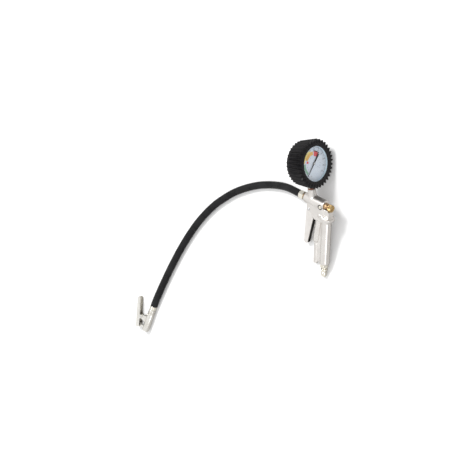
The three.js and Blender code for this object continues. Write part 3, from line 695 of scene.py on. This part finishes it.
knobCorners += [(43.6, 3.4), (42.6, 3), (42.6, 0), (41.2, 0), (41.2, 5.1), (36.6, 5.1)]
finish(turnedShape("bleedKnob", knobCorners, barrelFrame, 264, knurled(26, 2.9, 0.6, 37.4, 42.6)),
       knobBrass, "bleed_unit", "bleed_knob", slot="brass")
screwLine = offsetFrame((24, 0, -3), (0, 1, 0), (1, 0, 0))
finish(turnedShape("sideScrew", [(-10.1, 0), (-10.1, 1.4, 0.8), (-9.5, 3, 0.6), (-7.6, 3), (-7.6, 1.8),
                                 (-6.3, 1.8), (-6.3, 0)], screwLine, 64),
       nickelPlate, "gun", "side_screw", slot="nickel")
finish(turnedShape("screwSeal", [(-8.7, 3.1), (-8.7, 4.5), (-7.5, 4.5), (-7.5, 3.1), (-8.7, 3.1)], screwLine, 48),
       sealRubber, "gun", slot="seal_rubber")
pivotLine = offsetFrame((-1, 0, -14), (0, 1, 0), (1, 0, 0))
pinCorners = [(-9.8, 0), (-9.8, 1.4, 1), (-9.1, 2.4, 0.5), (-8.9, 2.4), (-8.9, 1.5), (9.4, 1.5, 0.4),
              (9.4, 0)]
finish(turnedShape("triggerPin", pinCorners, pivotLine, 48), brightSteel, "gun", "trigger_pin", slot="steel")


# plug: threaded root, hexagon, dark neck, collar, groove and round nose
def makeInletPlug():
    root = turnedShape("plugRoot", [(95, 2.6), (95, 5.9), (107, 5.9), (107, 2.6), (95, 2.6)], gripFrame, 64)
    hexPart = turnedShape("plugHex", [(106.3, 2.6), (106.3, 6.3, 0.2), (107, 7.3, 0.3), (111.3, 7.3, 0.3),
                                      (112.1, 6.2, 0.2), (112.1, 2.6), (106.3, 2.6)], gripFrame, 144, hexagon(6.4))
    nosePart = turnedShape("plugNose", [(111.9, 2.6), (111.9, 4.3), (114.3, 4.3, 0.3), (114.8, 5.7, 0.3),
                                        (117.4, 5.7, 0.4), (118, 4, 0.4), (120.4, 4, 0.4), (121.2, 4.9, 0.4),
                                        (127, 4.9, 1.5), (129, 4, 0.3), (129, 2.6), (111.9, 2.6)], gripFrame, 72)
    return tidy(joined("inletPlug", [root, hexPart, nosePart]))


finish(makeInletPlug(), nickelPlate, "gun", "inlet_plug", slot="nickel")
print("trigger, nose, bleed valve and plug made")

boot = {
    "corners": [(0, 29.4), (0, 36.6, 0.6), (-0.7, 40.4, 0.5), (-2.2, 41.7, 0.8), (-34.2, 37, 0.8), (-35.3, 35, 0.8),
                (-35.5, 33.2, 0.6), (-35.5, 27, 0.8), (-33.5, 27), (-33.5, 32.7), (-2.1, 32.7), (-2.1, 29.4, 0.3),
                (0, 29.4)],
    "ribs": 36, "height": 4.9, "floor": 33.8, "samples": 14, "stemHole": 6.6,
}


# Pointed ribs: the outer wall drops between the ribs by the rib height times a power of a rounded triangular
# wave in the angle, and never below the floor radius.
def ribbed(count, height, floor):
    def reach(along, radius, angle):
        wave = np.abs(((angle * count / turn) % 1) * 2 - 1)
        wave = (np.sqrt(wave ** 2 + 0.004) - 0.0632) / 0.9388
        drop = height * np.clip(wave, 0, 1) ** 0.75
        return np.where(radius > floor, np.maximum(radius - drop, floor), radius)
    return reach


def makeBoot(b):
    shell = turnedShape("gaugeBoot", b["corners"], gaugeFrame, b["ribs"] * b["samples"],
                        ribbed(b["ribs"], b["height"], b["floor"]), 4)
    cutter = bar("stemCut", stemFrame, 25, 45, b["stemHole"])
    boolean = shell.modifiers.new("stemHole", "BOOLEAN")
    boolean.operation = "DIFFERENCE"
    boolean.solver = "EXACT"
    boolean.object = cutter
    applyModifiers(shell)
    bpy.data.objects.remove(cutter)
    return tidy(shell, 34)


finish(makeBoot(boot), bootRubber, "gun", "gauge_boot", slot="boot_rubber")
finish(turnedShape("gaugeCase", [(-33.1, 0), (-33.1, 31, 0.4), (-32.1, 32.4, 0.8), (-3.4, 32.4), (-3.4, 31.4),
                                 (-31.5, 31.4), (-32.1, 30), (-32.1, 0)], gaugeFrame, 120),
       caseSteel, "gun", "gauge_case", slot="case_steel")
finish(turnedShape("gaugeBezel", [(-3.1, 29.3), (-3.1, 32.4), (-2.4, 32.4, 0.2), (-2.4, 29.5, 0.2), (-2.7, 29.3),
                                  (-3.1, 29.3)], gaugeFrame, 120), printBlack, "gun", "gauge_bezel",
       slot="black_paint")
finish(turnedShape("gaugeLens", [(-4.6, 0), (-4.6, 31.1, 0.2), (-3.5, 31.1, 0.2), (-3.45, 29, 3), (-3.2, 12, 6),
                                 (-3.15, 0)], gaugeFrame, 120), lensGlass, "gun", "gauge_lens", slot="lens")
finish(turnedShape("dialFace", [(-8, 1.5), (-8, 31.1), (-7.2, 31.1), (-7.2, 1.5), (-8, 1.5)],
                   gaugeFrame, 120), dialEnamel, "gun", "dial_plate", slot="dial_white")


def makeSocket():
    stem = turnedShape("socketStem", [(26, 0), (26, 3), (32.7, 3), (32.7, 5.8, 0.4), (42.2, 5.8, 0.5), (42.2, 4.9),
                                      (52.5, 4.9, 0.4), (52.5, 0)], stemFrame, 72)
    block = plateShape("socketBlock", [(-6.3, -27.5), (6.3, -27.5), (6.3, -19.9), (-6.3, -19.9)], -26, -13,
                       gaugeFrame, "xy")
    return tidy(joined("gaugeSocket", [stem, block]))


finish(makeSocket(), nickelPlate, "gun", "gauge_socket", slot="brass")
finish(turnedShape("dialRim", [(-7.15, 29.7), (-7.15, 31.2), (-4.75, 31.2), (-4.75, 30.3), (-7.15, 29.7)], gaugeFrame,
                   120), rimEnamel, "gun", slot="dial_white")


dial = {
    "level": -7.2, "thick": 0.05, "zeroDeg": 225, "sweepDeg": 270, "numbers": range(0, 221, 20),
    "numberRing": 23.3, "numberSize": 3.1, "tickRing": (26, 28.4), "fineRing": (27, 28.4),
}


# A flat printed band between two radii and two angles, as a thin closed ribbon.
def printedBand(name, inner, outer, startDeg, endDeg, material, lift=0.0):
    low = dial["level"] + 0.02 + lift
    high = low + dial["thick"]
    a = np.radians(np.linspace(startDeg, endDeg, max(6, int(abs(endDeg - startDeg)))))[:, None]
    radius = np.array([[inner, outer, outer, inner]], float)
    level = np.array([[low, low, high, high]], float) + 0 * a
    points = np.stack([radius * np.cos(a), radius * np.sin(a), level], -1)
    hubs = points[[0, -1]].mean(1, keepdims=True) + 0 * points[[0, -1]]
    points = np.concatenate([hubs[:1], points, hubs[1:]])
    return finish(tidy(gridMesh(name, points, gaugeFrame)), material, "gun", slot="dial_white")


# Straight printed strokes from start to end points, each a flat bar, all in one mesh.
def printedStrokes(name, starts, ends, widths, material):
    starts, ends, widths = np.array(starts, float), np.array(ends, float), np.array(widths, float)
    run = ends - starts
    side = np.stack([-run[:, 1], run[:, 0]], -1) / np.hypot(run[:, 0], run[:, 1])[:, None] * widths[:, None] / 2
    flat = np.stack([starts - side, ends - side, ends + side, starts + side], 1)
    low = dial["level"] + 0.03
    levels = np.array([low, low + dial["thick"]])
    corners = np.concatenate([flat[:, None].repeat(2, 1), levels[None, :, None, None] + 0 * flat[:, None, :, :1]], -1)
    verts = corners.reshape(-1, 3)
    matrix = np.array(gaugeFrame)
    verts = (verts @ matrix[:3, :3].T + matrix[:3, 3]) * mm
    faces = np.array([(0, 3, 2, 1), (4, 5, 6, 7), (0, 1, 5, 4), (1, 2, 6, 5), (2, 3, 7, 6), (3, 0, 4, 7)])
    faces = (faces[None] + 8 * np.arange(len(starts))[:, None, None]).reshape(-1, 4)
    mesh = bpy.data.meshes.new(name)
    mesh.from_pydata(verts.tolist(), [], faces.tolist())
    strokes = bpy.data.objects.new(name, mesh)
    bpy.context.scene.collection.objects.link(strokes)
    return finish(tidy(strokes), material, "gun", slot="black_paint")


def makeTicks(d):
    steps = (len(d["numbers"]) - 1) * 10
    index = np.arange(steps + 1)
    a = np.radians(d["zeroDeg"] - d["sweepDeg"] * index / steps)
    ray = np.stack([np.cos(a), np.sin(a)], -1)
    major, middle = index % 10 == 0, index % 5 == 0
    inner = np.where(major, d["tickRing"][0], np.where(middle, d["tickRing"][0] + 0.6, d["fineRing"][0]))
    width = np.where(major, 0.5, np.where(middle, 0.32, 0.18))
    printedStrokes("dialTicks", ray * inner[:, None], ray * d["tickRing"][1], width, printBlack)
    bars = np.arange(0, 16)
    b = np.radians(d["zeroDeg"] - d["sweepDeg"] * bars / 15.2)
    ray = np.stack([np.cos(b), np.sin(b)], -1)
    printedStrokes("dialInnerTicks", ray * 14.2, ray * 16, np.full(len(bars), 0.35), printGrey)


# plain figures round the dial, upright, as thin raised print
def makeNumbers(name, values, ring, size, sweep, material):
    made = []
    for value in values:
        share = value / values[-1] if len(values) > 1 else 0
        a = math.radians(dial["zeroDeg"] - sweep * share)
        curve = bpy.data.curves.new("figure", "FONT")
        curve.body = str(value)
        curve.size = size
        curve.align_x, curve.align_y = "CENTER", "CENTER"
        curve.extrude = 0.02
        curve.resolution_u = 3
        text = bpy.data.objects.new("figure", curve)
        bpy.context.scene.collection.objects.link(text)
        bpy.context.view_layer.update()
        mesh = bpy.data.meshes.new_from_object(text.evaluated_get(bpy.context.evaluated_depsgraph_get()))
        place = gaugeFrame @ shift((ring * math.cos(a), ring * math.sin(a), dial["level"] + 0.06))
        mesh.transform(Matrix.Scale(mm, 4) @ place)
        bpy.data.objects.remove(text)
        shape = bpy.data.objects.new("figure", mesh)
        bpy.context.scene.collection.objects.link(shape)
        made.append(shape)
    return finish(tidy(joined(name, made)), material, "gun", slot="black_paint")


printedBand("dialGreen", 18.6, 22.6, 222, 170, printGreen)
printedBand("dialYellow", 20.4, 23.4, 166, 100, printYellow)
printedBand("dialOrange", 14.2, 20.2, 150, 84, printOrange)
printedBand("dialPink", 12, 16.4, 166, 152, printRed)
printedBand("dialRed", 12.6, 20, 78, 46, printRed)
printedBand("dialRedEdge", 20.1, 21.5, 80, 42, printBlack)
makeTicks(dial)
makeNumbers("dialFigures", list(dial["numbers"]), dial["numberRing"], dial["numberSize"], dial["sweepDeg"], printGrey)
makeNumbers("dialInnerFigures", list(range(0, 16, 3)), 11.6, 2.2, dial["sweepDeg"] * 15 / 15.2, printGrey)


# the pointer: stations along its length, each a small rectangle
def makePointer():
    stations = np.array([(-19, 1.2), (-18.5, 1.55), (-8, 1.25), (-3, 1.0), (-1.6, 1.7), (0, 1.9), (1.6, 1.7),
                         (3, 0.8), (14, 0.5), (24.6, 0.28), (25, 0.12)])
    x, half = stations[:, :1], stations[:, 1:]
    y = np.array([[-1, 1, 1, -1]]) * half
    z = np.array([[-6.4, -6.4, -5.9, -5.9]]) + 0 * half
    points = np.stack([x + 0 * y, y, z], -1)
    hubs = points[[0, -1]].mean(1, keepdims=True) + 0 * points[[0, -1]]
    place = gaugeFrame @ Matrix.Rotation(math.radians(dial["zeroDeg"]), 4, "Z")
    return tidy(gridMesh("pointerBlade", np.concatenate([hubs[:1], points, hubs[1:]]), place))


finish(makePointer(), printBlack, "pointer_unit", "pointer", slot="black_paint")
finish(turnedShape("pointerCap", [(-5.6, 0), (-5.6, 2), (-5.2, 2, 0.2), (-4.9, 1.4, 0.2), (-4.9, 0)], gaugeFrame, 48),
       brightSteel, "pointer_unit", "pointer_hub", slot="steel")
print("gauge made")

hose = {"radius": 6.35, "sides": 48, "diameter": 0.0127}
hoseRoute = [
    (-30.4, 6.1, 21.5), (-38.4, 5.6, 19.4), (-47, 4.8, 17.2), (-57, 3.5, 14.7), (-68, 0.9, 12.1),
    (-79, -2.8, 9.8), (-91, -7.6, 8), (-102, -12.9, 6.9), (-112.5, -18.6, 6.4), (-122.6, -25.2, 6.35),
    (-132.4, -32.6, 6.35), (-141.8, -40.6, 6.35), (-151.1, -49.6, 6.35), (-159.9, -59.6, 6.35),
    (-168.1, -70.6, 6.35), (-176.4, -82.6, 6.35), (-184.1, -96.2, 6.35), (-191.1, -111.1, 6.35),
    (-197.4, -127.1, 6.35), (-202.6, -143.1, 6.35), (-207.1, -160.1, 6.35), (-211.1, -178.1, 6.35),
    (-214.5, -196.6, 6.35), (-217.2, -214.6, 6.35), (-219.6, -232.6, 6.35), (-221.6, -250.6, 6.35),
    (-223.4, -269.6, 6.35), (-224.8, -287.6, 6.35), (-225.7, -302.6, 6.35), (-225.8, -312.9, 6.35),
]


# A smooth line through every point: on each stretch a cubic with the slope at a point taken from its two
# neighbours, divided by the distance between them.
def smoothLine(points, perStretch):
    p = np.array(points, float)
    reach = np.hypot.reduce(np.diff(p, axis=0), axis=1)
    knots = np.concatenate([[0], np.cumsum(reach)])
    slope = np.gradient(p, knots, axis=0, edge_order=2)
    t = np.linspace(0, 1, perStretch, endpoint=False)[None, :, None]
    a, b = p[:-1, None], p[1:, None]
    sa, sb = slope[:-1, None] * reach[:, None, None], slope[1:, None] * reach[:, None, None]
    line = ((2 * t ** 3 - 3 * t ** 2 + 1) * a + (t ** 3 - 2 * t ** 2 + t) * sa
            + (3 * t ** 2 - 2 * t ** 3) * b + (t ** 3 - t ** 2) * sb)
    return np.concatenate([line.reshape(-1, 3), p[-1:]])


# A circle carried along a line. Its frame is carried too: one side is kept level, the other square to both.
def makeHose(h):
    line = smoothLine(hoseRoute, 9)
    along = np.gradient(line, axis=0)
    along /= np.linalg.norm(along, axis=1, keepdims=True)
    side = np.cross(along, [0, 0, 1])
    side /= np.linalg.norm(side, axis=1, keepdims=True)
    up = np.cross(side, along)
    a = np.linspace(0, turn, h["sides"], endpoint=False)
    ring = h["radius"] * (np.cos(a)[None, :, None] * side[:, None] + np.sin(a)[None, :, None] * up[:, None])
    points = line[:, None] + ring
    hubs = line[[0, -1], None] + 0 * points[:2]
    points = np.concatenate([hubs[:1], points, hubs[1:]])
    tubeShape = tidy(gridMesh("airHose", points, Matrix.Identity(4)), 60)
    length = float(np.linalg.norm(np.diff(line, axis=0), axis=1).sum()) * mm
    return tubeShape, line * mm, length


hosePiece, hoseLine, hoseLength = makeHose(hose)
finish(hosePiece, hoseRubber, "gun", "hose", slot="hose_rubber")
print("hose made:", round(hoseLength * 1000), "mm")


def united(name, solids, cutters):
    shape = solids[0]
    shape.name = name
    steps = [("UNION", solid) for solid in solids[1:]] + [("DIFFERENCE", cutter) for cutter in cutters]
    for operation, other in steps:
        boolean = shape.modifiers.new("machine", "BOOLEAN")
        boolean.operation = operation
        boolean.solver = "EXACT"
        boolean.object = other
        applyModifiers(shape)
        bpy.data.objects.remove(other)
    tidy(shape, 30)
    return shape


def makeChuckBody():
    lx, ly = layout["leverPivot"]
    tube = turnedShape("chuckBody", [(7.6, 0), (7.6, 5.5, 0.3), (8.4, 6.3, 0.4), (11, 6.3, 0.3), (11, 5.3, 0.2),
                                     (12.2, 5.3, 0.2), (12.2, 6.3, 0.3), (14.4, 6.3, 0.3), (14.4, 5.3, 0.2),
                                     (15.6, 5.3, 0.2), (15.6, 6.3, 0.3), (49, 6.3, 0.5), (50.2, 5.4, 0.2), (50.2, 0)],
                       chuckLine, 96, steps=3)
    ear = [(lx + 6.5, -3)] + arc((lx, ly), 2.75, -19, -161, 12) + [(lx - 6.5, -3)]
    lugs = [plateShape("lug", ear, low, low + 1.6, chuckFrame, "xy") for low in (-3.5, 1.9)]
    cutters = [
        bar("nippleBore", chuckLine, 6, 16, 3.3), bar("mouthBore", chuckLine, 22, 52, 4.2),
        plateShape("jawSlot", [(40.5, -8), (53, -8), (53, -1), (40.5, -1)], -2.6, 2.6, chuckFrame, "xy"),
        bar("earBore", chuckFrame @ shift((lx, ly, 0)), -6, 6, 1.65, 40),
    ]
    return united("chuckBody", [tube] + lugs, cutters)


# the lever: two side walls with ears, a folded back with raised thumb ribs, and the jaw
def makeLever():
    lx, ly = layout["leverPivot"]
    place = chuckFrame @ shift((lx, ly, 0)) @ Matrix.Rotation(math.radians(layout["leverOpenDeg"]), 4, "Z")
    wall = ([(-35.3, -7.4), (-34.7, -8.2), (19.1, -8.2), (19.5, -7.8), (19.5, -2.1), (19, -1.7), (4.8, -1.7),
             (3.4, -0.6)] + arc((0, 0), 2.8, 12, 168, 12) + [(-3.4, -0.6), (-4.8, -1.7), (-33, -2.6), (-35.3, -4.6)])
    blank = plateShape("leverBlank", wall, -5, 5, place, "xy")
    hollow = plateShape("leverHollow", [(-40, -6.9), (25, -6.9), (25, 5), (-40, 5)], -3.8, 3.8, place, "xy")
    hook = [(12.5, -2), (12.5, -7.4), (19.3, -7.4), (19.5, 6.3), (16.8, 6.9), (15.4, 4), (15.4, -0.4)]
    jaw = plateShape("jaw", hook, -2.1, 2.1, place, "xy")
    pinHole = bar("pinHole", place, -8, 8, 1.65, 40)
    lever = united("chuckLever", [blank], [hollow, pinHole])
    ribs = [plateShape("thumbRib", [(x, -8.5), (x + 1.1, -8.5), (x + 1.1, -7.6), (x, -7.6)], -3.6, 3.6, place, "xy")
            for x in np.arange(-33, -20, 2.4)]
    return tidy(joined("chuckLever", [lever, jaw] + ribs), 30)


ferruleCorners = [(0.3, 3.3), (0.3, 5.5, 0.3), (0.9, 6, 0.3), (2.4, 6, 0.3), (2.8, 5.6, 0.3),
                  (3.4, 5.6, 0.3), (3.8, 6, 0.3), (5.2, 6, 0.3), (5.6, 5.6, 0.3),
                  (6.1, 5.7, 0.2), (6.7, 5.9, 0.3), (7.3, 5.4, 0.2), (7.3, 3.3), (0.3, 3.3)]
ferrule = finish(turnedShape("hoseFerrule", ferruleCorners, chuckLine, 80, steps=3), nickelPlate, "gun", "chuck_ferrule", slot="nickel")
chuckBody = finish(makeChuckBody(), chuckPlate, "gun", "chuck_body", slot="nickel")
leverPiece = finish(makeLever(), chuckPlate, "lever_unit", "chuck_lever", slot="nickel")
leverPinCorners = [(-5.9, 0), (-5.9, 1.1, 0.5), (-5.5, 1.5, 0.2), (5.5, 1.5, 0.2), (5.9, 1.1, 0.5), (5.9, 0)]
leverPin = finish(turnedShape("leverPin", leverPinCorners, chuckFrame @ shift((*layout["leverPivot"], 0)), 40),
                  brightSteel, "gun", "chuck_lever_pin", slot="steel")
print("chuck made")
